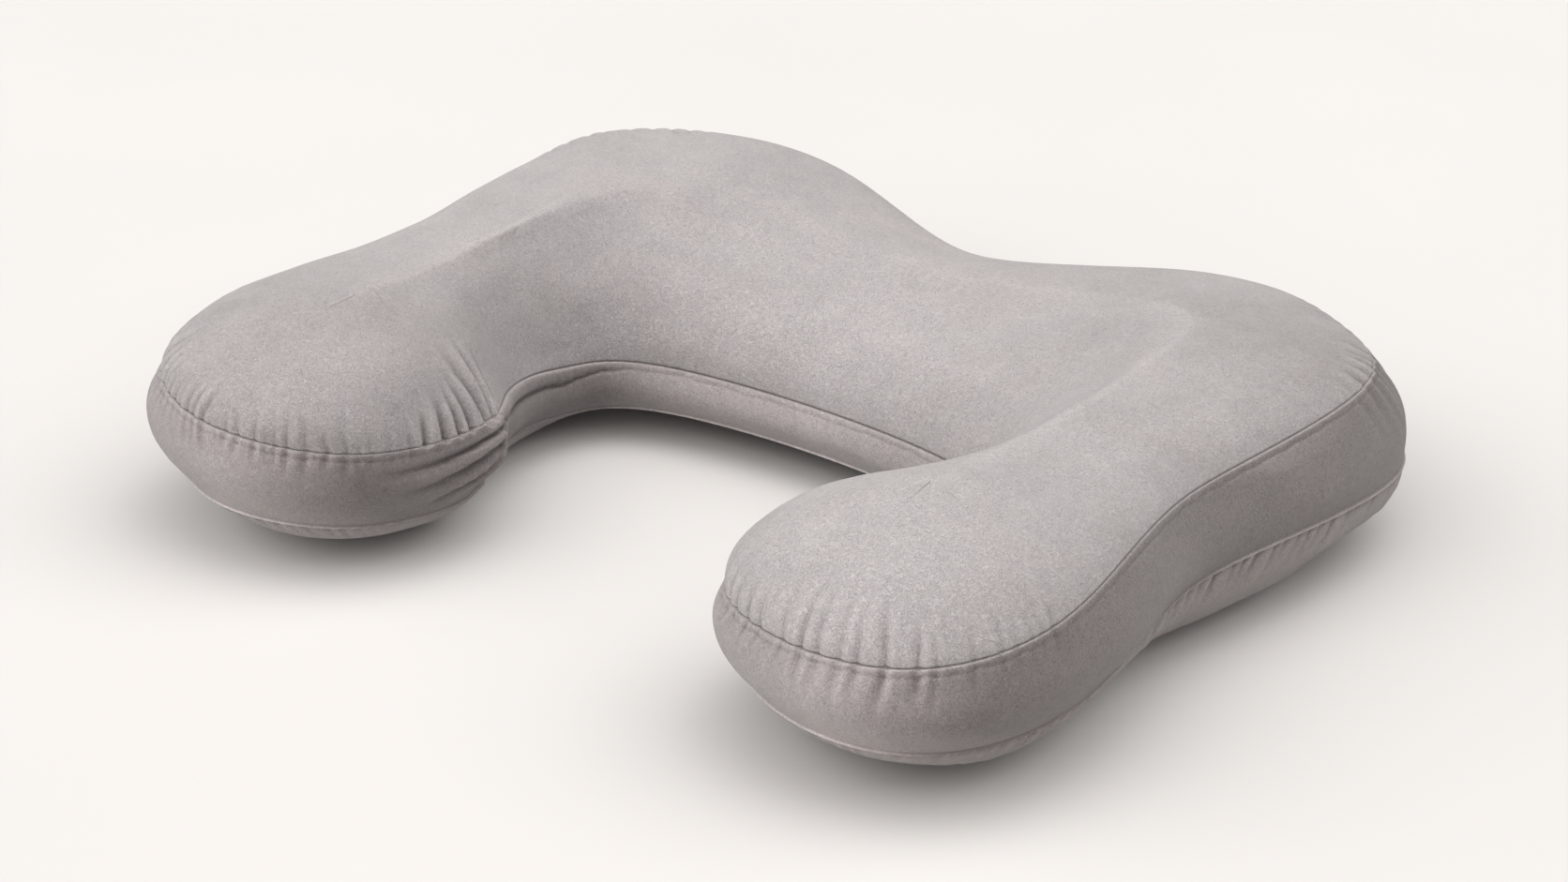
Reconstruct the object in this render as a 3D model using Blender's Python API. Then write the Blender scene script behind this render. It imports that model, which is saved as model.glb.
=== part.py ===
"""U-shaped pillow: one filled cushion with a crowned top, a bulging side band and a flat underside.

Run it with blender --background --python part.py. Metres, +Z up. The back of the U is at +Y and
its two arms point to -Y. The origin lies on the surface that the pillow rests on, under the
middle of its bounding box.
"""

from collections import namedtuple

import bmesh
import bpy
import numpy as np
from mathutils.geometry import delaunay_2d_cdt

MM = 0.001

# A row for each section through the right half, from the middle of the back, round the arm, to
# the middle of the gap's arch: where the upper seam is, the point of the pillow's middle line that
# the section runs to, the height of the crown there and the power that flattens its curve, the
# heights of both seams, how far the lower seam stands outside the upper one, how far the band bulges
# between them, and the power with which the underside turns in. Millimetres, but for the powers.
Section = namedtuple(
    "Section", "x y middle_x middle_y crown_z flatness seam_z low_z low_out bulge tuck"
)
SECTIONS = [
    Section(0, 153, 0, 93, 80, 0.66, 58, 25, 12, 6, 1.3),
    Section(47, 164, 45, 97, 81, 0.66, 62, 26, 14, 6, 1.3),
    Section(103, 182, 90, 105, 84, 0.6, 67, 27, 15, 6, 1.3),
    Section(156, 169, 125, 103, 90, 0.62, 74, 29, 14, 6, 1.3),
    Section(207, 129, 144, 86, 93, 0.72, 80, 32, 16, 6, 1.2),
    Section(223, 81, 151, 56, 95, 0.68, 80, 39, 15, 7, 1.1),
    Section(216, 12, 152, 23, 96, 0.66, 79, 44, 12, 7, 1.3),
    Section(213, -43, 150, -22, 97, 0.66, 80, 41, 4, 8, 0.95),
    Section(221, -100, 149, -67, 99, 0.62, 80, 35, 0, 10, 0.8),
    Section(220, -146, 149, -99, 102, 0.56, 74, 29, -5, 11, 0.8),
    Section(197, -186, 148, -110, 103, 0.54, 69, 26, -7, 11, 0.75),
    Section(148, -200, 148, -113, 103, 0.52, 67, 24, -7, 8, 0.75),
    Section(92, -172, 148, -110, 103, 0.5, 63, 23, -8, 7, 0.75),
    Section(82, -113, 149, -99, 101, 0.88, 57, 22, -7, 6, 0.75),
    Section(102, -76, 149, -69, 98, 1.1, 50, 20, -6, 6, 0.75),
    Section(113, -47, 151, -27, 97, 0.95, 45, 18, -5, 7, 0.75),
    Section(111, -22, 140, 71, 93, 0.66, 41, 16, -4, 8, 0.75),
    Section(82, 2, 65, 97, 85, 0.6, 39, 15, -3, 8, 0.75),
    Section(0, 14, 0, 93, 80, 0.6, 38, 15, -2, 8, 0.75),
]
HALF = len(SECTIONS) - 1
ROUND = 2 * HALF

# Where the left half isn't the mirror image of the right: how much farther from the middle, to the
# back and up its upper seam is, and how much higher its crown, in millimetres.
Lean = namedtuple("Lean", "section x y seam_z crown_z")
LEANS = [
    Lean(2, 0, 0, 3, 1),
    Lean(3, 0, 1, 7, 2),
    Lean(4, 2, 2, 5, 1),
    Lean(9, 1, 0, 2, 0),
    Lean(10, 2, 2, 3, 0),
    Lean(11, 0, 1, 1, 0),
    Lean(17, 4, 3, 0, 0),
]

# Rings of the surface: millimetres in from the upper seam, then shares of the way to the middle line.
TOP_NEAR = (0, 2.5, 7, 14, 25)
TOP_FAR = (0.55, 0.8)
# The points along the crown, in section numbers.
LAST_ON_CROWN = 9.4
CROWN_STEP = 0.4
# Millimetres down the band from the upper seam to its raised lip, then shares of the band.
LIP_DOWN = (1.5, 4.5)
BAND_SHARES = (0.3, 0.55, 0.8, 1)
# Degrees round the curve from the lower seam to the flat underside, and the share of the way to the
# middle line where the flat starts.
UNDER_TURN = (8, 30, 60, 90)
FLAT_START = 0.8

# How far the cloth is drawn in or stands out at each seam, in millimetres.
SEAM_DEPTH = 1.2
LIP_HEIGHT = 0.9
LOW_SEAM_RIDGE = 0.8
# Half widths of the groove, the lip and the ridge, and how far down the band the lip's middle is.
SEAM_WIDE = 1.2
LIP_WIDE = 1.6
RIDGE_WIDE = 2.0
LIP_MIDDLE = 2.5

# Puckers where the cloth is gathered along a seam: the side of the pillow, the section numbers
# between which they lie, how many, their depth and reach on the top, on the band and under the
# lower seam, in millimetres.
Gather = namedtuple("Gather", "side start end folds top_deep top_reach band_deep band_reach low_deep")
GATHERS = [
    Gather("right", 8.9, 12.8, 17, 1.3, 26, 0.7, 9, 0.6),
    Gather("right", 3.9, 4.9, 5, 1.0, 16, 0.8, 12, 0.6),
    Gather("right", 4.9, 8.7, 16, 0.0, 10, 0.3, 6, 1.3),
    Gather("left", 12.4, 13.8, 5, 2.6, 24, 1.2, 14, 0.6),
    Gather("left", 8.9, 11.0, 8, 1.1, 24, 0.7, 9, 0.6),
    Gather("left", 11.0, 12.4, 6, 0.6, 14, 0.5, 8, 0.5),
]

# A pucker is deepest this far from the seam, on the top, the band and the underside, and the run on
# the underside reaches UNDER_REACH. Each fold's depth differs from the next by up to UNEVEN, and the
# folds fade at the ends of a run with the power FADE.
DEEPEST_FROM_SEAM = 5
DEEPEST_UNDER = 6
UNDER_REACH = 9
USUAL_DEPTH = 0.75
UNEVEN = 0.35
FOLD_PHASE = 2.3
FADE = 0.4

# Creases pressed into the band of the left arm beside the gap: section number and millimetres
# below the upper seam at both ends, depth and half width. START_DEPTH is the share of the depth that
# a crease has where it starts.
START_DEPTH = 0.4
Crease = namedtuple("Crease", "start start_down end end_down deep wide")
CREASES = [
    Crease(12.25, 16, 13.3, 6, 2.4, 4.5),
    Crease(12.5, 25, 13.35, 14, 2.2, 4.5),
    Crease(12.75, 33, 13.4, 21, 1.6, 4),
]

# Millimetres between stations where the seam is plain, the stations to each pucker, how far plain
# stations keep from the puckers in section numbers, and the points that a length is measured over.
PLAIN_GAP = 17.0
STATIONS_PER_FOLD = 4
CLEAR_OF_FOLDS = 0.1
LENGTH_POINTS = 2000
DIRECTION_STEP = 0.02

GREY = (0.47, 0.45, 0.44, 1)


def whole_loop(name):
    """A column of the table, carried on round the left half."""
    right = np.array([getattr(row, name) for row in SECTIONS], float)
    left = right.copy()
    for lean in LEANS:
        left[lean.section] += getattr(lean, name, 0)
    left = left[HALF - 1 : 0 : -1]
    return np.concatenate([right, -left if name in ("x", "middle_x") else left])


def on_loop(name, where):
    """The column's smooth closed curve, read at section numbers."""
    values = whole_loop(name)
    circle = np.eye(ROUND)
    matrix = 4 * circle + np.roll(circle, 1, axis=0) + np.roll(circle, -1, axis=0)
    slopes = np.linalg.solve(matrix, 3 * (np.roll(values, -1) - np.roll(values, 1)))
    start = np.floor(where).astype(int) % ROUND
    end = (start + 1) % ROUND
    share = where - np.floor(where)
    rise = values[end] - values[start]
    bend_in = slopes[start] - rise
    bend_out = rise - slopes[end]
    curve = (1 - share) * bend_in + share * bend_out
    return (1 - share) * values[start] + share * values[end] + share * (1 - share) * curve


def number_on_loop(side, section):
    return section if side == "right" else ROUND - section


def rim_length(where):
    """Millimetres along the upper seam from the middle of the back to each section number."""
    fine = np.linspace(0, ROUND, LENGTH_POINTS)
    steps = np.hypot(np.diff(on_loop("x", fine)), np.diff(on_loop("y", fine)))
    return np.interp(where, fine, np.concatenate([[0], np.cumsum(steps)]))


def station_numbers():
    """Where the stations stand: evenly along the seam, and a few to each pucker."""
    fine = np.linspace(0, ROUND, LENGTH_POINTS)
    length = rim_length(fine)
    plain = np.interp(np.arange(0, length[-1] - PLAIN_GAP / 2, PLAIN_GAP), length, fine)
    found = []
    for gather in GATHERS:
        ends = sorted(number_on_loop(gather.side, end) for end in (gather.start, gather.end))
        clear = (plain < ends[0] - CLEAR_OF_FOLDS) | (plain > ends[1] + CLEAR_OF_FOLDS)
        plain = plain[clear]
        found.append(np.linspace(*ends, gather.folds * STATIONS_PER_FOLD + 1)[:-1])
    return np.unique(np.round(np.concatenate([plain] + found), 3))


def outward(where):
    """The level direction that points out of the pillow at each station."""
    ahead, behind = where + DIRECTION_STEP, where - DIRECTION_STEP
    along_x = on_loop("x", ahead) - on_loop("x", behind)
    along_y = on_loop("y", ahead) - on_loop("y", behind)
    length = np.hypot(along_x, along_y)
    return -along_y / length, along_x / length


def surface_rings(where):
    """Rings of points from the crown, over the band, to the flat underside, in millimetres, and how
    far each point lies in from the upper seam, which is less than nothing on the band."""
    rim_x, rim_y = on_loop("x", where), on_loop("y", where)
    middle_x, middle_y = on_loop("middle_x", where), on_loop("middle_y", where)
    seam_z, low_z = on_loop("seam_z", where), on_loop("low_z", where)
    crown_rise, flatness = on_loop("crown_z", where) - seam_z, on_loop("flatness", where)
    low_out, bulge = on_loop("low_out", where), on_loop("bulge", where)
    tuck = on_loop("tuck", where)
    out_x, out_y = outward(where)
    reach = np.hypot(middle_x - rim_x, middle_y - rim_y)
    band = np.hypot(seam_z - low_z, low_out)
    rings, inward = [], []

    shares = [near / reach for near in TOP_NEAR] + [np.full_like(reach, far) for far in TOP_FAR]
    for share in reversed(shares):
        height = seam_z + crown_rise * (1 - (1 - share) ** 2) ** flatness
        x = rim_x + (middle_x - rim_x) * share
        y = rim_y + (middle_y - rim_y) * share
        rings.append(np.stack([x, y, height], axis=1))
        inward.append(share * reach)

    for share in [down / band for down in LIP_DOWN] + list(BAND_SHARES):
        out = low_out * share + bulge * np.sin(np.pi * share)
        height = seam_z + (low_z - seam_z) * share
        rings.append(np.stack([rim_x + out_x * out, rim_y + out_y * out, height], axis=1))
        inward.append(-share * band)

    low_x, low_y = rim_x + out_x * low_out, rim_y + out_y * low_out
    for turn in np.radians(UNDER_TURN):
        share = FLAT_START * (1 - np.cos(turn)) ** tuck
        x = low_x + (middle_x - low_x) * share
        y = low_y + (middle_y - low_y) * share
        rings.append(np.stack([x, y, low_z * (1 - np.sin(turn))], axis=1))
        inward.append(-band - np.sin(turn) * low_z)
    return np.array(rings), np.array(inward)


def normals_of(rings):
    """Unit normals of the surface that the rings make, pointing out of the pillow."""
    along = np.roll(rings, -1, axis=1) - np.roll(rings, 1, axis=1)
    across = np.gradient(rings, axis=0)
    normals = np.cross(along, across)
    return normals / np.linalg.norm(normals, axis=2, keepdims=True)


def seam_profile(inward, band):
    """How far the cloth stands out at each point for the two seams."""
    groove = -SEAM_DEPTH * np.exp(-((inward / SEAM_WIDE) ** 2))
    lip = LIP_HEIGHT * np.exp(-(((inward + LIP_MIDDLE) / LIP_WIDE) ** 2))
    ridge = LOW_SEAM_RIDGE * np.exp(-(((inward + band) / RIDGE_WIDE) ** 2))
    return groove + lip + ridge


def gather_profile(gather, where, inward, band):
    """How far the cloth stands out for one run of puckers, each a little unlike the last."""
    ends = [number_on_loop(gather.side, end) for end in (gather.start, gather.end)]
    share = (where - ends[0]) / (ends[1] - ends[0])
    inside = (share > 0) & (share < 1)
    turns = np.clip(share, 0, 1) * gather.folds
    fold = np.floor(turns) + gather.folds
    uneven = USUAL_DEPTH + UNEVEN * np.sin(FOLD_PHASE * fold)
    puff = np.abs(np.sin(np.pi * turns)) - 1
    swell = puff * uneven * inside * np.sin(np.pi * np.clip(share, 0, 1)) ** FADE
    top = gather.top_deep * np.exp(-(((inward - DEEPEST_FROM_SEAM) / gather.top_reach) ** 2))
    down = gather.band_deep * np.exp(-(((inward + DEEPEST_FROM_SEAM) / gather.band_reach) ** 2))
    low = gather.low_deep * np.exp(-(((inward + band + DEEPEST_UNDER) / UNDER_REACH) ** 2))
    return swell * (np.where(inward > 0, top, down) + low)


def crease_profile(crease, where, inward):
    """How far the band is pressed in along one crease of the left arm."""
    start, end = (rim_length(number_on_loop("left", at)) for at in (crease.start, crease.end))
    run = np.array([end - start, crease.start_down - crease.end_down])
    along = np.broadcast_to(rim_length(where) - start, inward.shape)
    offset = np.stack([along, inward + crease.start_down], axis=-1)
    share = np.clip(offset @ run / (run @ run), 0, 1)
    distance = np.linalg.norm(offset - share[..., None] * run, axis=-1)
    return -crease.deep * np.exp(-((distance / crease.wide) ** 2)) * (START_DEPTH + (1 - START_DEPTH) * share)


def shaped_rings():
    """The rings with their seams, puckers and creases, in millimetres."""
    where = station_numbers()
    rings, inward = surface_rings(where)
    band = np.hypot(on_loop("seam_z", where) - on_loop("low_z", where), on_loop("low_out", where))
    lift = seam_profile(inward, band)
    for gather in GATHERS:
        lift += gather_profile(gather, where, inward, band)
    for crease in CREASES:
        lift += crease_profile(crease, where, inward)
    lift[-1] = 0
    rings += normals_of(rings) * lift[..., None]
    return rings


def crown_line_points():
    """The line along the crown from one arm's end to the other."""
    right = np.arange(0, LAST_ON_CROWN + CROWN_STEP / 2, CROWN_STEP)
    where = np.concatenate([ROUND - right[:0:-1], right])
    names = ("middle_x", "middle_y", "crown_z")
    return np.stack([on_loop(name, where) for name in names], axis=1)


def centred(rings, crown_line):
    """Both in metres, moved so that the origin is under the middle of the bounding box."""
    low, high = rings.min(axis=(0, 1)), rings.max(axis=(0, 1))
    middle = np.array([(low[0] + high[0]) / 2, (low[1] + high[1]) / 2, 0])
    return (rings - middle) * MM, (crown_line - middle) * MM


def fill_inside(shape, ring, inner_points):
    """Fills a ring with triangles that also run through the points given inside it."""
    corners = ring + [shape.verts.new(point) for point in inner_points]
    level = [corner.co.xy for corner in corners]
    outline = list(range(len(ring)))
    _, _, triangles, sources, _, _ = delaunay_2d_cdt(level, [], [outline], 1, 1e-6)
    for triangle in triangles:
        shape.faces.new([corners[sources[index][0]] for index in triangle])


def cushion_mesh(rings, crown_line):
    """A closed mesh: quads between the rings, and the crown and underside filled in."""
    shape = bmesh.new()
    points = [[shape.verts.new(point) for point in ring] for ring in rings]
    count = len(rings[0])
    for upper, lower in zip(points, points[1:]):
        for index in range(count):
            after = (index + 1) % count
            shape.faces.new((upper[index], lower[index], lower[after], upper[after]))
    fill_inside(shape, points[0], crown_line)
    fill_inside(shape, points[-1], [])
    bmesh.ops.recalc_face_normals(shape, faces=shape.faces)
    mesh = bpy.data.meshes.new("pillow")
    shape.to_mesh(mesh)
    shape.free()
    mesh.shade_smooth()
    return mesh


def velour():
    material = bpy.data.materials.new("grey_velour")
    material.use_nodes = True
    surface = material.node_tree.nodes["Principled BSDF"]
    surface.inputs["Base Color"].default_value = GREY
    surface.inputs["Roughness"].default_value = 0.95
    surface.inputs["Metallic"].default_value = 0
    return material


def clear_scene():
    for thing in list(bpy.data.objects):
        bpy.data.objects.remove(thing)


def build_pillow():
    collection = bpy.data.collections.new("u_shaped_pillow")
    bpy.context.scene.collection.children.link(collection)
    rings, crown_line = centred(shaped_rings(), crown_line_points())
    pillow = bpy.data.objects.new("pillow", cushion_mesh(rings, crown_line))
    pillow.data.materials.append(velour())
    collection.objects.link(pillow)


clear_scene()
build_pillow()
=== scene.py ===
"""Looks for the U-shaped pillow: a filled velour cushion with two sewn seams, puckers and creases.

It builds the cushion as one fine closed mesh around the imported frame, then its stitching, the
floor, the lights and the camera. Metres, +Z up; sizes in the tables are millimetres.
"""

from collections import namedtuple

import bmesh
import bpy
import numpy as np
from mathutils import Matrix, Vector
from mathutils.geometry import delaunay_2d_cdt

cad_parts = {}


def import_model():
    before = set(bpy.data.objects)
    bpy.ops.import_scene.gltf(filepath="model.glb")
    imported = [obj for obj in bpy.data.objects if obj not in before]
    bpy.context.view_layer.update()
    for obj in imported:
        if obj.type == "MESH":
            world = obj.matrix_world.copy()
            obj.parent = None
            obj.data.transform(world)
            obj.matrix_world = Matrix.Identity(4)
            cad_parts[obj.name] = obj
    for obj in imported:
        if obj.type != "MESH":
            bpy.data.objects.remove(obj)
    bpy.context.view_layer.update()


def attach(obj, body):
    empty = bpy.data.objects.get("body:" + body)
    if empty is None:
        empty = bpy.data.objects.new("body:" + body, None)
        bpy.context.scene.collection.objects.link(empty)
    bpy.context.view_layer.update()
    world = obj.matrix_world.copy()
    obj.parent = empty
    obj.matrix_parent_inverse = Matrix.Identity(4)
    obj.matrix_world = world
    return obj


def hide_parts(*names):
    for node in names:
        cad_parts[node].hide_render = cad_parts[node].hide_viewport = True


MM = 0.001

# ---- The plan and the sections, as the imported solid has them.
Section = namedtuple(
    "Section", "x y middle_x middle_y crown_z flatness seam_z low_z low_out bulge tuck"
)
SECTIONS = [
    Section(0, 153, 0, 93, 80, 0.66, 58, 25, 12, 6, 1.3),
    Section(47, 164, 45, 97, 81, 0.66, 62, 26, 14, 6, 1.3),
    Section(103, 182, 90, 105, 84, 0.6, 67, 27, 15, 6, 1.3),
    Section(156, 169, 125, 103, 90, 0.62, 74, 29, 14, 6, 1.3),
    Section(207, 129, 144, 86, 93, 0.72, 80, 32, 16, 6, 1.2),
    Section(223, 81, 151, 56, 95, 0.68, 80, 39, 15, 7, 1.1),
    Section(216, 12, 152, 23, 96, 0.66, 79, 44, 12, 7, 1.3),
    Section(213, -43, 150, -22, 97, 0.66, 80, 41, 4, 8, 0.95),
    Section(221, -100, 149, -67, 99, 0.62, 80, 35, 0, 10, 0.8),
    Section(220, -146, 149, -99, 102, 0.56, 74, 29, -5, 11, 0.8),
    Section(197, -186, 148, -110, 103, 0.54, 69, 26, -7, 11, 0.75),
    Section(148, -200, 148, -113, 103, 0.52, 67, 24, -7, 8, 0.75),
    Section(92, -172, 148, -110, 103, 0.5, 63, 23, -8, 7, 0.75),
    Section(82, -113, 149, -99, 101, 0.88, 57, 22, -7, 6, 0.75),
    Section(102, -76, 149, -69, 98, 1.1, 50, 20, -6, 6, 0.75),
    Section(113, -47, 151, -27, 97, 0.95, 45, 18, -5, 7, 0.75),
    Section(111, -22, 140, 71, 93, 0.66, 41, 16, -4, 8, 0.75),
    Section(82, 2, 65, 97, 85, 0.6, 39, 15, -3, 8, 0.75),
    Section(0, 14, 0, 93, 80, 0.6, 38, 15, -2, 8, 0.75),
]
HALF = len(SECTIONS) - 1
ROUND = 2 * HALF

# Where the left half isn't the mirror image of the right.
Lean = namedtuple("Lean", "section x y seam_z crown_z")
LEANS = [
    Lean(2, 0, 0, 3, 1),
    Lean(3, 0, 1, 7, 2),
    Lean(4, 2, 2, 5, 1),
    Lean(9, 1, 0, 2, 0),
    Lean(10, 2, 2, 3, 0),
    Lean(11, 0, 1, 1, 0),
    Lean(17, 4, 3, 0, 0),
]
FLAT_START = 0.8
# The lower seam is drawn up round both tips and at the right shoulder: section number, how much
# and over how many sections.
RAISED = [(24.6, 3.2, 1.6), (11.4, 5.0, 1.7), (4.1, 5.0, 0.9)]

# ---- Rings of the fine surface: millimetres of cloth from a seam, then shares of what is left.
TOP_NEAR = (0.35, 0.75, 1.3, 2, 3, 4.2, 5.6, 7.2, 9, 11, 13.5, 16.5, 20, 24, 29, 35, 42)
TOP_FAR = (0.2, 0.42, 0.65, 0.86, 1)
BAND_NEAR = (0.35, 0.75, 1.3, 1.9, 2.6, 3.3, 4, 4.8, 5.7, 6.7, 7.8, 9, 10.5)
BAND_FAR = (0.08, 0.16, 0.24, 0.32, 0.4, 0.48, 0.56, 0.64, 0.72, 0.8, 0.87, 0.94, 1)
BAND_LAST = (2.2, 1.3, 0.7, 0.3, 0)
UNDER_NEAR = (0.35, 0.8, 1.4, 2.4, 4, 6.5, 10, 15)
UNDER_FAR = (0.25, 0.5, 0.75, 1)
STATIONS = 1440
LAST_SHARE = 0.95
LENGTH_POINTS = 4000
PROFILE_POINTS = 240
DIRECTION_STEP = 0.02

# Puckers along a seam: the side of the pillow, the sections between which they lie, how many, how
# deep, how far they reach on the top, the band and the underside, how wide each is, and how far it
# leans sideways for each millimetre from the seam.
Gather = namedtuple("Gather", "side start end folds deep top band under wide lean")
GATHERS = [
    Gather("right", 9.62, 12.0, 14, 2.2, 16, 9, 0, 1.8, 0.12),
    Gather("right", 8.9, 9.62, 6, 0.8, 10, 6, 0, 1.7, 0.1),
    Gather("right", 4.0, 4.95, 6, 2.2, 10, 18, 0, 2.4, -0.1),
    Gather("right", 3.0, 4.0, 6, 0.9, 8, 10, 0, 1.9, 0.0),
    Gather("left", 9.5, 10.9, 14, 2.0, 15, 12, 0, 1.6, -0.1),
    Gather("left", 10.9, 12.35, 16, 1.3, 9, 5, 0, 1.5, 0.1),
    Gather("left", 3.2, 4.8, 9, 1.2, 10, 13, 0, 1.9, 0.1),
    Gather("left", 8.3, 9.5, 8, 0.8, 9, 9, 0, 1.9, 0.0),
]
# The same along the lower seam, where they reach down under the pillow.
LOW_GATHERS = [
    Gather("right", 5.1, 8.4, 24, 1.9, 0, 0, 17, 2.0, 0.6),
    Gather("right", 8.4, 9.6, 9, 1.5, 0, 0, 11, 1.7, 0.6),
    Gather("right", 9.6, 12.0, 16, 0.8, 0, 0, 8, 1.6, 0.3),
    Gather("right", 3.2, 5.1, 9, 1.3, 0, 0, 15, 2.0, 0.4),
    Gather("left", 9.4, 12.2, 20, 0.9, 0, 0, 9, 1.7, -0.4),
    Gather("left", 3.0, 9.0, 34, 1.2, 0, 0, 13, 2.0, -0.4),
    Gather("right", 0.0, 3.0, 12, 0.8, 0, 0, 10, 2.2, 0.2),
    Gather("left", 0.0, 3.0, 12, 0.8, 0, 0, 10, 2.2, -0.2),
]

# Single folds and creases: side, section and millimetres of cloth from the upper seam at both
# ends (less than nothing on the band), depth and half width. Each fades out towards its end.
Crease = namedtuple("Crease", "side start start_up end end_up deep wide")
CREASES = [
    Crease("left", 12.4, 0, 12.4, 15, 3.6, 2.6),
    Crease("left", 12.56, 0, 12.55, 19, 4.8, 3.0),
    Crease("left", 12.69, 0, 12.65, 22, 4.4, 2.6),
    Crease("left", 12.82, 0, 12.74, 26, 4.6, 3.0),
    Crease("left", 13.04, 0, 12.88, 36, 6.0, 4.0),
    Crease("left", 13.14, 0, 13.16, 40, 4.2, 3.2),
    Crease("left", 13.28, 0, 13.42, 34, 2.6, 3.0),
    Crease("left", 13.22, -6, 12.0, -10.5, 4.6, 2.2),
    Crease("left", 13.12, -12, 12.15, -21, 5.0, 2.6),
    Crease("left", 13.05, -17, 12.4, -31, 4.6, 2.4),
    Crease("left", 13.35, -10, 12.95, -36, 3.6, 3.2),
    Crease("left", 13.25, -24, 12.9, -36, 4.0, 7.0),
]


def whole_loop(name):
    """A column of the table, carried on round the left half."""
    right = np.array([getattr(row, name) for row in SECTIONS], float)
    left = right.copy()
    for lean in LEANS:
        left[lean.section] += getattr(lean, name, 0)
    left = left[HALF - 1 : 0 : -1]
    return np.concatenate([right, -left if name in ("x", "middle_x") else left])


def on_loop(name, where):
    """The column's smooth closed curve, read at section numbers."""
    values = whole_loop(name)
    circle = np.eye(ROUND)
    matrix = 4 * circle + np.roll(circle, 1, axis=0) + np.roll(circle, -1, axis=0)
    slopes = np.linalg.solve(matrix, 3 * (np.roll(values, -1) - np.roll(values, 1)))
    start = np.floor(where).astype(int) % ROUND
    end = (start + 1) % ROUND
    share = where - np.floor(where)
    rise = values[end] - values[start]
    curve = (1 - share) * (slopes[start] - rise) + share * (rise - slopes[end])
    return (1 - share) * values[start] + share * values[end] + share * (1 - share) * curve


def number_on_loop(side, section):
    return section if side == "right" else ROUND - section


def rim_table():
    """Section numbers and the millimetres along the upper seam to each."""
    fine = np.linspace(0, ROUND, LENGTH_POINTS)
    steps = np.hypot(np.diff(on_loop("x", fine)), np.diff(on_loop("y", fine)))
    return fine, np.concatenate([[0], np.cumsum(steps)])


def outward(where):
    """The level direction that points out of the pillow."""
    ahead, behind = where + DIRECTION_STEP, where - DIRECTION_STEP
    along_x = on_loop("x", ahead) - on_loop("x", behind)
    along_y = on_loop("y", ahead) - on_loop("y", behind)
    length = np.hypot(along_x, along_y)
    return -along_y / length, along_x / length


def resampled(points, distances):
    """Points at the given distances along each station's own line. Both are indexed row, station."""
    steps = np.linalg.norm(np.diff(points, axis=0), axis=2)
    length = np.concatenate([np.zeros((1, points.shape[1])), np.cumsum(steps, axis=0)])
    found = np.empty((len(distances), points.shape[1], 3))
    for station in range(points.shape[1]):
        for axis in range(3):
            found[:, station, axis] = np.interp(
                distances[:, station], length[:, station], points[:, station, axis]
            )
    return found


def line_length(points):
    return np.linalg.norm(np.diff(points, axis=0), axis=2).sum(axis=0)


def section_lines(where):
    """Each station's line over the top, down the band and under the pillow, from the seams."""
    rim_x, rim_y = on_loop("x", where), on_loop("y", where)
    middle_x, middle_y = on_loop("middle_x", where), on_loop("middle_y", where)
    seam_z, low_z = on_loop("seam_z", where), on_loop("low_z", where)
    crown_rise, flatness = on_loop("crown_z", where) - seam_z, on_loop("flatness", where)
    low_out, bulge = on_loop("low_out", where), on_loop("bulge", where)
    out_x, out_y = outward(where)

    share = LAST_SHARE * (np.linspace(0, 1, PROFILE_POINTS)[:, None] ** 2.5)
    x = rim_x + (middle_x - rim_x) * share
    y = rim_y + (middle_y - rim_y) * share
    z = seam_z + crown_rise * (1 - (1 - share) ** 2) ** flatness
    top = np.stack([x, y, z], axis=2)

    for section, high, reach in RAISED:
        low_z = low_z + high * bell(where - section, reach)
    share = np.linspace(0, 1, PROFILE_POINTS)[:, None]
    out = low_out * share + bulge * np.sin(np.pi * share)
    band = np.stack([rim_x + out_x * out, rim_y + out_y * out, seam_z + (low_z - seam_z) * share], axis=2)

    low_x, low_y = rim_x + out_x * low_out, rim_y + out_y * low_out
    turn = np.radians(90) * np.linspace(0, 1, PROFILE_POINTS)[:, None] ** 1.2
    share = FLAT_START * (1 - np.cos(turn)) ** on_loop("tuck", where)
    x = low_x + (middle_x - low_x) * share
    y = low_y + (middle_y - low_y) * share
    under = np.stack([x, y, low_z * (1 - np.sin(turn))], axis=2)
    return top, band, under


def fine_rings(where):
    """Rings from the crown to the underside and, for each point, how many millimetres of cloth lie
    between it and the upper seam (less than nothing below it) and the same for the lower seam."""
    top, band, under = section_lines(where)
    top_length, band_length, under_length = (line_length(line) for line in (top, band, under))
    level = np.ones((1, len(where)))
    near = np.array(TOP_NEAR)[:, None] * level
    far = TOP_NEAR[-1] + (top_length - TOP_NEAR[-1]) * np.array(TOP_FAR)[:, None]
    up = np.concatenate([near, far])
    near = np.array(BAND_NEAR)[:, None] * level
    room = band_length - BAND_NEAR[-1] - BAND_LAST[0] - 1
    far = BAND_NEAR[-1] + room * np.array(BAND_FAR)[:, None]
    last = band_length - np.array(BAND_LAST)[:, None]
    down = np.concatenate([near, far, last])
    near = np.array(UNDER_NEAR)[:, None] * level
    far = UNDER_NEAR[-1] + (under_length - UNDER_NEAR[-1]) * np.array(UNDER_FAR)[:, None]
    below = np.concatenate([near, far])
    rings = np.concatenate(
        [resampled(top, up)[::-1], band[:1], resampled(band, down), resampled(under, below)]
    )
    from_upper = np.concatenate([up[::-1], 0 * level, -down, -band_length - below])
    return rings, from_upper, from_upper + band_length


def normals_of(rings):
    """Unit normals of the surface that the rings make, pointing out of the pillow."""
    along = np.roll(rings, -1, axis=1) - np.roll(rings, 1, axis=1)
    across = np.gradient(rings, axis=0)
    normals = np.cross(along, across)
    return normals / np.linalg.norm(normals, axis=2, keepdims=True)


def bell(offset, wide):
    return np.exp(-((offset / wide) ** 2))


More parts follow.
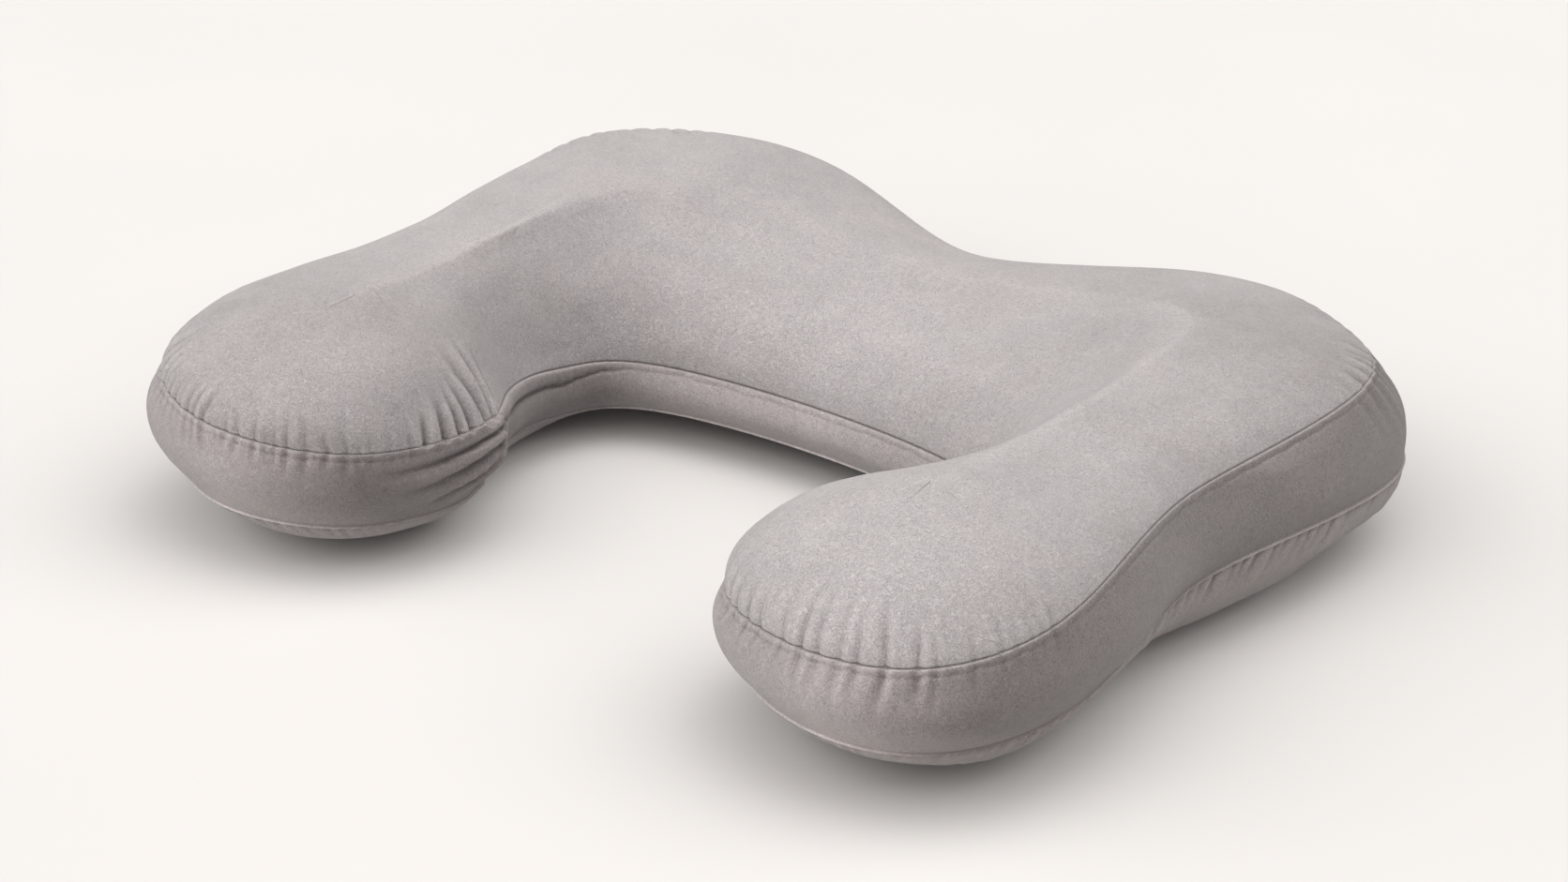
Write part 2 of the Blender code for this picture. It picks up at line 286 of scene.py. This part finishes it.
def step_up(value, start, end):
    """0 before start, 1 after end, smooth between them."""
    share = np.clip((value - start) / (end - start), 0, 1)
    return share * share * (3 - 2 * share)


def waves(points, length, seed, count=9):
    """A smooth uneven field from about -1 to 1 whose swells are about length across."""
    rng = np.random.default_rng(seed)
    total = np.zeros(points.shape[:-1])
    for _ in range(count):
        direction = rng.normal(size=3)
        direction *= 2 * np.pi / (length * rng.uniform(0.7, 1.6)) / np.linalg.norm(direction)
        total += np.sin(points @ direction + rng.uniform(0, 2 * np.pi))
    return total / np.sqrt(count)


# ---- What is sewn into the surface.
GROOVE_DEEP = 0.75
GROOVE_WIDE = 0.38
LIP_HIGH = 0.28
LIP_WIDE = 2.8
WIDE_LIP = 6.8
WIDE_LIP_HIGH = 2.0
LOW_RIDGE_HIGH = 1.2
LOW_RIDGE_WIDE = 0.6
LOW_GROOVE_DEEP = 0.1
LOW_GROOVE_AT = 1.3


def seam_lift(where, rings, from_upper, from_lower):
    """How far the cloth stands out at each point for the two seams, in millimetres."""
    groove = -GROOVE_DEEP * bell(from_upper, GROOVE_WIDE)
    on_left = (ROUND - where) * np.ones_like(from_upper)
    wide = step_up(on_left, 13.1, 13.7) * (1 - step_up(on_left, 15.6, 17.0))
    width = LIP_WIDE + (WIDE_LIP - LIP_WIDE) * wide
    width = width * (1 + (0.1 * waves(rings, 11, 3) + 0.09 * waves(rings, 4, 4)) * (1 - 0.8 * wide))
    high = LIP_HIGH + (WIDE_LIP_HIGH - LIP_HIGH) * wide
    share = np.clip(-from_upper / width, 0, 1)
    lip = high * np.sin(np.pi * share) ** 0.7
    under_lip = -(0.2 + 1.4 * wide) * bell(-from_upper - width - 0.5, 0.6 + 0.5 * wide)
    ridge = LOW_RIDGE_HIGH * bell(from_lower, LOW_RIDGE_WIDE)
    low_groove = -LOW_GROOVE_DEEP * bell(from_lower + LOW_GROOVE_AT, 0.7)
    return groove + lip + under_lip + ridge + low_groove


def fold_shape(offset, wide):
    """A valley between two soft rolls."""
    return -np.exp(-((np.abs(offset) / wide) ** 1.6)) + 0.5 * bell(offset, 2.5 * wide)


def gather_lift(gather, along, loop_length, length_at, from_seam, seed):
    """How far the cloth stands out for one run of puckers, no two of them alike."""
    rng = np.random.default_rng(seed)
    ends = [length_at(number_on_loop(gather.side, end)) for end in (gather.start, gather.end)]
    pitch = (ends[1] - ends[0]) / gather.folds
    lift = np.zeros_like(from_seam)
    for fold in range(gather.folds):
        middle = ends[0] + pitch * (fold + 0.5 + rng.uniform(-0.28, 0.28))
        edge = min(fold + 1, gather.folds - fold) / gather.folds
        deep = gather.deep * rng.uniform(0.45, 1.25) * min(1, 0.45 + 3 * edge)
        wide = gather.wide * rng.uniform(0.8, 1.25)
        reach = rng.uniform(0.65, 1.3)
        bend = gather.lean + rng.uniform(-0.12, 0.12)
        near = np.abs((along - middle + loop_length / 2) % loop_length - loop_length / 2) < 40
        offset = (along - middle + loop_length / 2) % loop_length - loop_length / 2
        offset = offset - bend * np.abs(from_seam) - 0.004 * bend * from_seam**2
        fade = np.zeros_like(from_seam)
        if gather.top:
            fade += (from_seam > 0) * bell(np.maximum(from_seam - 2, 0), gather.top * reach)
        if gather.band:
            fade += (from_seam <= 0) * bell(np.minimum(from_seam + 3, 0), gather.band * reach) * 0.75
        if gather.under:
            below = np.maximum(-from_seam - 1, 0)
            fade += (from_seam < -0.5) * bell(np.maximum(below - 2, 0), gather.under * reach)
        broad = wide * (1 + 0.02 * np.abs(from_seam))
        lift += deep * fold_shape(offset, broad) * fade * near
    return lift


def crease_lift(crease, along, length_at, from_upper):
    """How far the cloth is pressed in along one crease."""
    start, end = (length_at(number_on_loop(crease.side, at)) for at in (crease.start, crease.end))
    run = np.array([end - start, crease.end_up - crease.start_up])
    sideways = np.broadcast_to(along - start, from_upper.shape)
    offset = np.stack([sideways, from_upper - crease.start_up], axis=-1)
    share = np.clip(offset @ run / (run @ run), 0, 1)
    across = np.linalg.norm(offset - share[..., None] * run, axis=-1)
    fade = np.cos(np.pi / 2 * share) ** 0.8
    wide = crease.wide * (0.8 + 0.5 * share)
    return crease.deep * fade * (-bell(across, 0.8 * wide) + 0.5 * bell(across, 2.2 * wide))


# Soft dents in the crown: place, direction of the dent in degrees, length, width and depth.
Dent = namedtuple("Dent", "x y turn long wide deep")
DENTS = [
    Dent(-128, 20, 60, 60, 22, 1.4),
    Dent(-60, 110, 10, 70, 30, 1.0),
    Dent(150, 60, 100, 70, 26, 0.9),
]


# The band is drawn in where the left arm meets the inside of the U, and stands out beside that:
# section number, how many sections wide and how far out, from these distances down the band.
PULLS = [(22.4, 0.4, -4.0), (23.2, 0.5, 1.2)]
PULL_START = 3
PULL_END = 18


def dent_lift(dent, rings, from_upper):
    turn = np.radians(dent.turn)
    x, y = rings[..., 0] - dent.x, rings[..., 1] - dent.y
    along = x * np.cos(turn) + y * np.sin(turn)
    across = -x * np.sin(turn) + y * np.cos(turn)
    return -dent.deep * bell(along, dent.long) * bell(across, dent.wide) * step_up(from_upper, 0, 20)


def evenly_spaced():
    """Section numbers of the stations, evenly along the upper seam, and how far along each is."""
    fine, length = rim_table()
    along = np.arange(STATIONS) * length[-1] / STATIONS
    return np.interp(along, length, fine), along, length[-1]


def shaped_surface():
    """The rings with everything that is sewn or pressed into them, in millimetres."""
    where, along, loop_length = evenly_spaced()
    fine, length = rim_table()

    def length_at(section):
        return np.interp(section, fine, length)

    rings, from_upper, from_lower = fine_rings(where)
    normals = normals_of(rings)
    lift = seam_lift(where, rings, from_upper, from_lower)
    for seed, gather in enumerate(GATHERS):
        lift += gather_lift(gather, along, loop_length, length_at, from_upper, seed + 11)
    for seed, gather in enumerate(LOW_GATHERS):
        lift += gather_lift(gather, along, loop_length, length_at, from_lower, seed + 51)
    for crease in CREASES:
        lift += crease_lift(crease, along, length_at, from_upper)
    for dent in DENTS:
        lift += dent_lift(dent, rings, from_upper)
    for section, wide, out in PULLS:
        lift += out * bell(where - section, wide) * step_up(-from_upper, PULL_START, PULL_END)
    calm = step_up(np.abs(from_upper), 0, 12) * step_up(np.abs(from_lower), 0, 12)
    lift += calm * (0.75 * waves(rings, 95, 5) + 0.3 * waves(rings, 38, 6))
    on_floor = step_up(-from_lower, 30, 55)
    lift *= 1 - on_floor
    surface = rings + normals * lift[..., None]
    surface[..., 2] = np.maximum(surface[..., 2], 0)
    return surface, from_upper, from_lower


def centre_of(surface):
    low, high = surface.min(axis=(0, 1)), surface.max(axis=(0, 1))
    return np.array([(low[0] + high[0]) / 2, (low[1] + high[1]) / 2, 0])


# ---- The cushion's mesh.
# How strongly the painted shade by facing shows on the top panel.
TOP_SIDE_SHADE = 0.35
# Half width in millimetres of the painted highlight along the lower seam's ridge.
SEAM_HIGHLIGHT_WIDE = 0.7
# The painted shade in the hollows and the painted highlight on the ridges show less along the lower
# seam's ridge.
HOLLOW_SHADE_LESS = 0.85
HOLLOW_SHADE_REACH = 1.8
# Painted shade in darker patches on the top panel: place, reach and how strongly.
TOP_SHADE_PATCHES = [(182, 100, 58, 0.9), (-150, -158, 62, 0.75), (-95, -10, 40, 0.3), (40, 120, 60, 0.2)]
LAST_ON_CROWN = 9.4
CROWN_STEP = 0.05
CROWN_RINGS = 8
CROWN_PASSES = 36


def crown_line():
    right = np.arange(0, LAST_ON_CROWN + CROWN_STEP / 2, CROWN_STEP)
    where = np.concatenate([ROUND - right[:0:-1], right])
    return np.stack([on_loop(name, where) for name in ("middle_x", "middle_y", "crown_z")], axis=1)


def fill_inside(ring, inner):
    """Triangles over a closed ring of points and the points inside it, as indices into both."""
    level = [Vector(point[:2]) for point in np.concatenate([ring, inner])]
    outline = list(range(len(ring)))
    _, _, triangles, sources, _, _ = delaunay_2d_cdt(level, [], [outline], 1, 1e-9)
    return [[sources[index][0] for index in triangle] for triangle in triangles]


def panel_shades(rings, from_upper, from_lower):
    """How strongly each painted shade and painted highlight in the cloth's tone shows at each point, and
    at the crown.
    """
    on_top = step_up(from_upper, 0, 0.6)
    on_band = step_up(-from_upper, 0, 0.6)
    under = step_up(-from_lower, 0.5, 1.2)
    # Painted shade: the share of the darker patches on the top panel, with an uneven edge.
    brushed = np.zeros_like(from_upper)
    for x, y, reach, share in TOP_SHADE_PATCHES:
        away = np.hypot(rings[..., 0] - x, rings[..., 1] - y) + 9 * waves(rings, 30, 9)
        brushed = np.maximum(brushed, share * bell(np.maximum(away, 0), reach))
    return {
        # painted shade by facing, on the band and partly on the top
        "side_shade_share": (TOP_SIDE_SHADE * on_top + on_band * (1 - 0.5 * under), TOP_SIDE_SHADE),
        # painted shade under the pillow
        "underside": (under, 0),
        # painted highlight along the lower seam's ridge
        "seam_highlight_share": (bell(from_lower, SEAM_HIGHLIGHT_WIDE), 0),
        # painted shade in darker patches on the top
        "top_shade_share": (brushed * on_top, 0),
        # how much the painted shade in the hollows and highlight on the ridges show
        "hollow_shade_share": (1 - HOLLOW_SHADE_LESS * bell(from_lower, HOLLOW_SHADE_REACH), 1),
    }


def cushion_object(surface, crown, shades):
    """One closed mesh: quads between the rings, and the crown and underside filled in."""
    rows, count = surface.shape[:2]
    points = np.concatenate([surface.reshape(-1, 3), crown])
    faces = []
    after = np.roll(np.arange(count), -1)
    for row in range(rows - 1):
        upper, lower = row * count, (row + 1) * count
        faces += np.stack(
            [upper + np.arange(count), lower + np.arange(count), lower + after, upper + after], axis=1
        ).tolist()
    top_index = np.concatenate([np.arange(count), rows * count + np.arange(len(crown))])
    faces += [[int(top_index[i]) for i in face] for face in fill_inside(surface[0], crown)]
    last = (rows - 1) * count
    faces += [[last + i for i in face] for face in fill_inside(surface[-1], np.empty((0, 3)))]
    mesh = bpy.data.meshes.new("cushion")
    mesh.from_pydata(points.tolist(), [], faces)
    shape = bmesh.new()
    shape.from_mesh(mesh)
    bmesh.ops.recalc_face_normals(shape, faces=shape.faces)
    crown_points = list(shape.verts)[rows * count :]
    near_crown = crown_points + list(shape.verts)[: CROWN_RINGS * count]
    for _ in range(CROWN_PASSES):
        bmesh.ops.smooth_vert(
            shape, verts=near_crown, factor=0.5, use_axis_x=False, use_axis_y=False, use_axis_z=True
        )
    shape.to_mesh(mesh)
    shape.free()
    mesh.shade_smooth()
    for name, (on_rings, on_crown) in shades.items():
        values = mesh.attributes.new(name, "FLOAT", "POINT")
        on_all = np.concatenate([on_rings.ravel(), np.full(len(crown), on_crown)])
        values.data.foreach_set("value", on_all)
    cushion = bpy.data.objects.new("cushion", mesh)
    bpy.context.scene.collection.objects.link(cushion)
    return cushion


# ---- Stitches.
STITCH_PITCH = 3.1
STITCH_LONG = 2.1
STITCH_RADIUS = 0.2
STITCH_SIDES = 6
STITCH_SHARES = (0, 0.12, 0.5, 0.88, 1)
STITCH_SWELL = (0.35, 0.85, 1, 0.85, 0.35)


def stitch_line(name, line, normals, pitch, long, radius, sink):
    """A row of short threads lying along a closed line, sunk at both ends. Points in metres."""
    closed = np.concatenate([line, line[:1]])
    out = np.concatenate([normals, normals[:1]])
    length = np.concatenate([[0], np.cumsum(np.linalg.norm(np.diff(closed, axis=0), axis=1))])
    count = int(length[-1] / pitch)
    starts = np.arange(count) * length[-1] / count
    spots = starts[:, None] + long * np.array(STITCH_SHARES)

    def read(values):
        columns = [np.interp(spots % length[-1], length, values[:, axis]) for axis in range(3)]
        return np.stack(columns, axis=2)

    middle, up = read(closed), read(out)
    up /= np.linalg.norm(up, axis=2, keepdims=True)
    along = np.gradient(middle, axis=1)
    along /= np.linalg.norm(along, axis=2, keepdims=True)
    side = np.cross(along, up)
    dip = sink * (np.abs(np.array(STITCH_SHARES) - 0.5) * 2) ** 2
    middle = middle - up * dip[None, :, None]
    turns = np.linspace(0, 2 * np.pi, STITCH_SIDES, endpoint=False)
    swell = radius * np.array(STITCH_SWELL)
    ring = (
        side[:, :, None] * np.cos(turns)[None, None, :, None]
        + up[:, :, None] * np.sin(turns)[None, None, :, None]
    )
    points = middle[:, :, None] + ring * swell[None, :, None, None]
    rows, sides = len(STITCH_SHARES), STITCH_SIDES
    faces = []
    for stitch in range(count):
        base = stitch * rows * sides
        for row in range(rows - 1):
            for corner in range(sides):
                after = (corner + 1) % sides
                low, high = base + row * sides, base + (row + 1) * sides
                faces.append((low + corner, low + after, high + after, high + corner))
        faces.append([base + corner for corner in reversed(range(sides))])
        faces.append([base + (rows - 1) * sides + corner for corner in range(sides)])
    mesh = bpy.data.meshes.new(name)
    mesh.from_pydata(points.reshape(-1, 3).tolist(), [], faces)
    mesh.shade_smooth()
    thing = bpy.data.objects.new(name, mesh)
    bpy.context.scene.collection.objects.link(thing)
    return thing


# ---- Materials.
def nodes_of(material):
    material.use_nodes = True
    tree = material.node_tree
    return tree, tree.nodes["Principled BSDF"]


def noise(tree, coordinates, scale, detail, roughness=0.5, distortion=0.0):
    node = tree.nodes.new("ShaderNodeTexNoise")
    node.inputs["Scale"].default_value = scale
    node.inputs["Detail"].default_value = detail
    node.inputs["Roughness"].default_value = roughness
    node.inputs["Distortion"].default_value = distortion
    tree.links.new(coordinates, node.inputs["Vector"])
    return node.outputs["Fac"]


def ramp(tree, value, stops):
    node = tree.nodes.new("ShaderNodeValToRGB")
    points = node.color_ramp.elements
    while len(points) < len(stops):
        points.new(0.5)
    for point, (place, colour) in zip(points, stops):
        point.position = place
        point.color = (*colour, 1)
    tree.links.new(value, node.inputs["Fac"])
    return node.outputs["Color"]


def mixed(tree, kind, share, first, second):
    node = tree.nodes.new("ShaderNodeMix")
    node.data_type = "RGBA"
    node.blend_type = kind
    if isinstance(share, bpy.types.NodeSocket):
        tree.links.new(share, node.inputs[0])
    else:
        node.inputs[0].default_value = share
    tree.links.new(first, node.inputs[6])
    tree.links.new(second, node.inputs[7])
    return node.outputs[2]


def bumped(tree, height, strength, distance, before=None):
    node = tree.nodes.new("ShaderNodeBump")
    node.inputs["Strength"].default_value = strength
    node.inputs["Distance"].default_value = distance
    tree.links.new(height, node.inputs["Height"])
    if before:
        tree.links.new(before, node.inputs["Normal"])
    return node.outputs["Normal"]


VELOUR_COOL = (0.373, 0.355, 0.357)
VELOUR_WARM = (0.39, 0.365, 0.362)
VELOUR_DARK = (0.352, 0.332, 0.331)
# Painted shade under the pillow.
UNDERSIDE_SHADE_TONE = (0.85, 0.825, 0.815)
# Painted highlight along the lower seam's ridge.
SEAM_HIGHLIGHT_TONE = (2.15, 2.16, 2.15)
# Painted shade of the darker patches on the top panel.
TOP_SHADE_TONE = (0.76, 0.75, 0.745)
# Painted shade by which way the cloth faces, strongest on the side band and darkest where it faces
# right: shares of the way from facing left to facing right, and the tones there.
SIDE_SHADE_TONES = [
    (0.08, (0.84, 0.825, 0.82)),
    (0.22, (0.72, 0.7, 0.695)),
    (0.42, (0.83, 0.805, 0.795)),
    (0.5, (0.94, 0.91, 0.9)),
    (0.58, (0.85, 0.82, 0.81)),
    (0.7, (0.66, 0.63, 0.62)),
    (0.88, (0.4, 0.377, 0.368)),
]
# Painted shade in the hollows and painted highlight on the ridges, by how pointed the surface is.
HOLLOW_SHADE = (0.64, 0.61, 0.6)
RIDGE_HIGHLIGHT = (1.2, 1.19, 1.185)


def painted(tree, name):
    node = tree.nodes.new("ShaderNodeAttribute")
    node.attribute_name = name
    return node.outputs["Fac"]


def velour():
    """Short-pile velour: a fine crinkled nap, cool and warm patches where the pile leans, sheen;
    painted shade by facing, in the hollows, under the pillow and in patches on the top, and painted
    highlights on the ridges and along the lower seam.
    """
    material = bpy.data.materials.new("grey_velour")
    tree, surface = nodes_of(material)
    place = tree.nodes.new("ShaderNodeTexCoord").outputs["Object"]
    patches = noise(tree, place, 13, 3, 0.55, 0.6)
    tone = ramp(tree, patches, [(0.32, VELOUR_DARK), (0.5, VELOUR_COOL), (0.68, VELOUR_WARM)])
    brushed = noise(tree, place, 48, 4, 0.6, 1.2)
    brush_tone = ramp(tree, brushed, [(0.3, (0.945, 0.945, 0.948)), (0.7, (1.04, 1.037, 1.034))])
    tone = mixed(tree, "MULTIPLY", 1, tone, brush_tone)
    nap = noise(tree, place, 800, 3, 0.6, 2.0)
    nap_tone = ramp(tree, nap, [(0.34, (0.72, 0.72, 0.72)), (0.66, (1.22, 1.22, 1.22))])
    tone = mixed(tree, "MULTIPLY", 1, tone, nap_tone)
    # Painted shade by which way the surface faces, darkest where it faces right.
    facing = tree.nodes.new("ShaderNodeSeparateXYZ")
    tree.links.new(tree.nodes.new("ShaderNodeNewGeometry").outputs["Normal"], facing.inputs[0])
    share = tree.nodes.new("ShaderNodeMapRange")
    share.inputs["From Min"].default_value = -1
    tree.links.new(facing.outputs["X"], share.inputs["Value"])
    side_shade_tone = ramp(tree, share.outputs["Result"], SIDE_SHADE_TONES)
    tone = mixed(tree, "MULTIPLY", painted(tree, "side_shade_share"), tone, side_shade_tone)
    # Painted shade under the pillow.
    below = tree.nodes.new("ShaderNodeRGB").outputs["Color"]
    below.default_value = (*UNDERSIDE_SHADE_TONE, 1)
    tone = mixed(tree, "MULTIPLY", painted(tree, "underside"), tone, below)
    # Painted shade in the hollows and painted highlight on the ridges, by how pointed the surface is.
    pointed_share = tree.nodes.new("ShaderNodeNewGeometry").outputs["Pointiness"]
    hollow_and_ridge_tone = ramp(tree, pointed_share, [(0.455, HOLLOW_SHADE), (0.5, (1, 1, 1)), (0.55, RIDGE_HIGHLIGHT)])
    tone = mixed(tree, "MULTIPLY", painted(tree, "hollow_shade_share"), tone, hollow_and_ridge_tone)
    # Painted shade in darker patches on the top panel.
    down = tree.nodes.new("ShaderNodeRGB").outputs["Color"]
    down.default_value = (*TOP_SHADE_TONE, 1)
    tone = mixed(tree, "MULTIPLY", painted(tree, "top_shade_share"), tone, down)
    # Painted highlight along the lower seam's ridge.
    seam_highlight = tree.nodes.new("ShaderNodeRGB").outputs["Color"]
    seam_highlight.default_value = (*SEAM_HIGHLIGHT_TONE, 1)
    tone = mixed(tree, "MULTIPLY", painted(tree, "seam_highlight_share"), tone, seam_highlight)
    tree.links.new(tone, surface.inputs["Base Color"])
    fine = noise(tree, place, 1500, 2, 0.6, 0.4)
    relief = bumped(tree, nap, 0.85, 0.0008)
    relief = bumped(tree, fine, 0.3, 0.0002, relief)
    tree.links.new(relief, surface.inputs["Normal"])
    surface.inputs["Roughness"].default_value = 0.92
    surface.inputs["Specular IOR Level"].default_value = 0.15
    surface.inputs["Sheen Weight"].default_value = 0.32
    surface.inputs["Sheen Roughness"].default_value = 0.4
    surface.inputs["Sheen Tint"].default_value = (1.0, 0.985, 0.97, 1)
    return material


def thread(name, dark, light):
    material = bpy.data.materials.new(name)
    tree, surface = nodes_of(material)
    place = tree.nodes.new("ShaderNodeTexCoord").outputs["Object"]
    twist = noise(tree, place, 1800, 2, 0.5, 0.5)
    tree.links.new(ramp(tree, twist, [(0.35, dark), (0.65, light)]), surface.inputs["Base Color"])
    tree.links.new(bumped(tree, twist, 0.4, 0.0001), surface.inputs["Normal"])
    surface.inputs["Roughness"].default_value = 0.7
    surface.inputs["Specular IOR Level"].default_value = 0.2
    return material


def pale_floor():
    material = bpy.data.materials.new("pale_floor")
    tree, surface = nodes_of(material)
    place = tree.nodes.new("ShaderNodeTexCoord").outputs["Object"]
    grain = noise(tree, place, 3, 2)
    tone = ramp(tree, grain, [(0.3, (0.565, 0.549, 0.536)), (0.7, (0.577, 0.561, 0.548))])
    tree.links.new(tone, surface.inputs["Base Color"])
    surface.inputs["Roughness"].default_value = 0.85
    surface.inputs["Specular IOR Level"].default_value = 0.1
    return material


# ---- Floor, light and camera.
FLOOR_SIZE = 40
FLOOR_Z = -0.0004


def floor():
    half = FLOOR_SIZE / 2
    corners = [(-half, -half), (half, -half), (half, half), (-half, half)]
    mesh = bpy.data.meshes.new("floor")
    mesh.from_pydata([(x, y, FLOOR_Z) for x, y in corners], [], [(0, 1, 2, 3)])
    mesh.materials.append(pale_floor())
    thing = bpy.data.objects.new("floor", mesh)
    bpy.context.scene.collection.objects.link(thing)


def area_light(name, place, aim, size, power, colour):
    data = bpy.data.lights.new(name, "AREA")
    data.shape = "DISK"
    data.size = size
    data.energy = power
    data.color = colour
    lamp = bpy.data.objects.new(name, data)
    lamp.location = place
    lamp.rotation_euler = (Vector(aim) - Vector(place)).to_track_quat("-Z", "Y").to_euler()
    bpy.context.scene.collection.objects.link(lamp)


LIGHTS_AIM = (0, 0, 0.04)
STUDIO_WHITE = (1.0, 0.985, 0.976)
# Each soft box of light around the studio: where it is brightest, the shares of the way towards it
# over which it fades in, and its strength there.
Glow = namedtuple("Glow", "way start end strength")
AMBIENT = 0.11
GLOWS = [
    Glow((0.5, 0.25, 0.83), 0.72, 1.0, 3.0),
    Glow((-0.2, -0.5, 0.84), 0.72, 1.0, 1.7),
    Glow((-0.77, -0.57, 0.31), 0.6, 1.0, 1.9),
    Glow((0.45, -0.83, 0.31), 0.6, 1.0, 1.0),
]


def studio_walls():
    world = bpy.data.worlds.new("studio")
    bpy.context.scene.world = world
    world.use_nodes = True
    tree = world.node_tree
    way = tree.nodes.new("ShaderNodeTexCoord").outputs["Generated"]
    total = None
    for glow in GLOWS:
        facing = tree.nodes.new("ShaderNodeVectorMath")
        facing.operation = "DOT_PRODUCT"
        facing.inputs[1].default_value = Vector(glow.way).normalized()
        tree.links.new(way, facing.inputs[0])
        share = tree.nodes.new("ShaderNodeMapRange")
        share.interpolation_type = "SMOOTHSTEP"
        share.inputs["From Min"].default_value = glow.start
        share.inputs["From Max"].default_value = glow.end
        share.inputs["To Max"].default_value = glow.strength
        tree.links.new(facing.outputs["Value"], share.inputs["Value"])
        add = tree.nodes.new("ShaderNodeMath")
        add.inputs[1].default_value = AMBIENT
        tree.links.new(share.outputs["Result"], add.inputs[0])
        if total:
            tree.links.new(total, add.inputs[1])
        total = add.outputs["Value"]
    sky = tree.nodes["Background"]
    sky.inputs["Color"].default_value = (*STUDIO_WHITE, 1)
    tree.links.new(total, sky.inputs["Strength"])


def studio_light():
    area_light("top", (0, 0, 5.5), LIGHTS_AIM, 4.5, 71, STUDIO_WHITE)
    studio_walls()


CAMERA_TURN = np.radians(36.50)
CAMERA_RISE = np.radians(26.40)
CAMERA_AWAY = 1.4104
CAMERA_AIM = (-0.0097, 0.0075, 0.023)
FOCAL_PIXELS = 3400
PHOTO_WIDTH = 1672
SENSOR = 36.0


def camera():
    data = bpy.data.cameras.new("camera")
    data.sensor_width = SENSOR
    data.lens = SENSOR * FOCAL_PIXELS / PHOTO_WIDTH
    data.clip_end = 100
    lens = bpy.data.objects.new("camera", data)
    level = np.cos(CAMERA_RISE)
    back = Vector(
        (np.sin(CAMERA_TURN) * level, -np.cos(CAMERA_TURN) * level, np.sin(CAMERA_RISE))
    )
    lens.location = Vector(CAMERA_AIM) + back * CAMERA_AWAY
    lens.rotation_euler = (-back).to_track_quat("-Z", "Y").to_euler()
    bpy.context.scene.collection.objects.link(lens)
    bpy.context.scene.camera = lens


def main():
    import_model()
    surface, from_upper, from_lower = shaped_surface()
    shades = panel_shades(surface, from_upper, from_lower)
    middle = centre_of(surface)
    crown = (crown_line() - middle) * MM
    surface = (surface - middle) * MM

    cushion = cushion_object(surface, crown, shades)
    cushion.data.materials.append(velour())
    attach(cushion, "root")
    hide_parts("pillow")

    normals = normals_of(surface)
    seam = len(TOP_NEAR) + len(TOP_FAR)
    upper = stitch_line(
        "upper_stitches", surface[seam] + normals[seam] * 0.15 * MM, normals[seam],
        STITCH_PITCH * MM, STITCH_LONG * MM, STITCH_RADIUS * MM, 0.3 * MM,
    )
    upper.data.materials.append(thread("seam_thread", (0.13, 0.118, 0.113), (0.21, 0.195, 0.187)))
    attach(upper, "root")

    floor()
    studio_light()
    camera()
    bpy.context.scene.view_settings.view_transform = "Standard"


main()
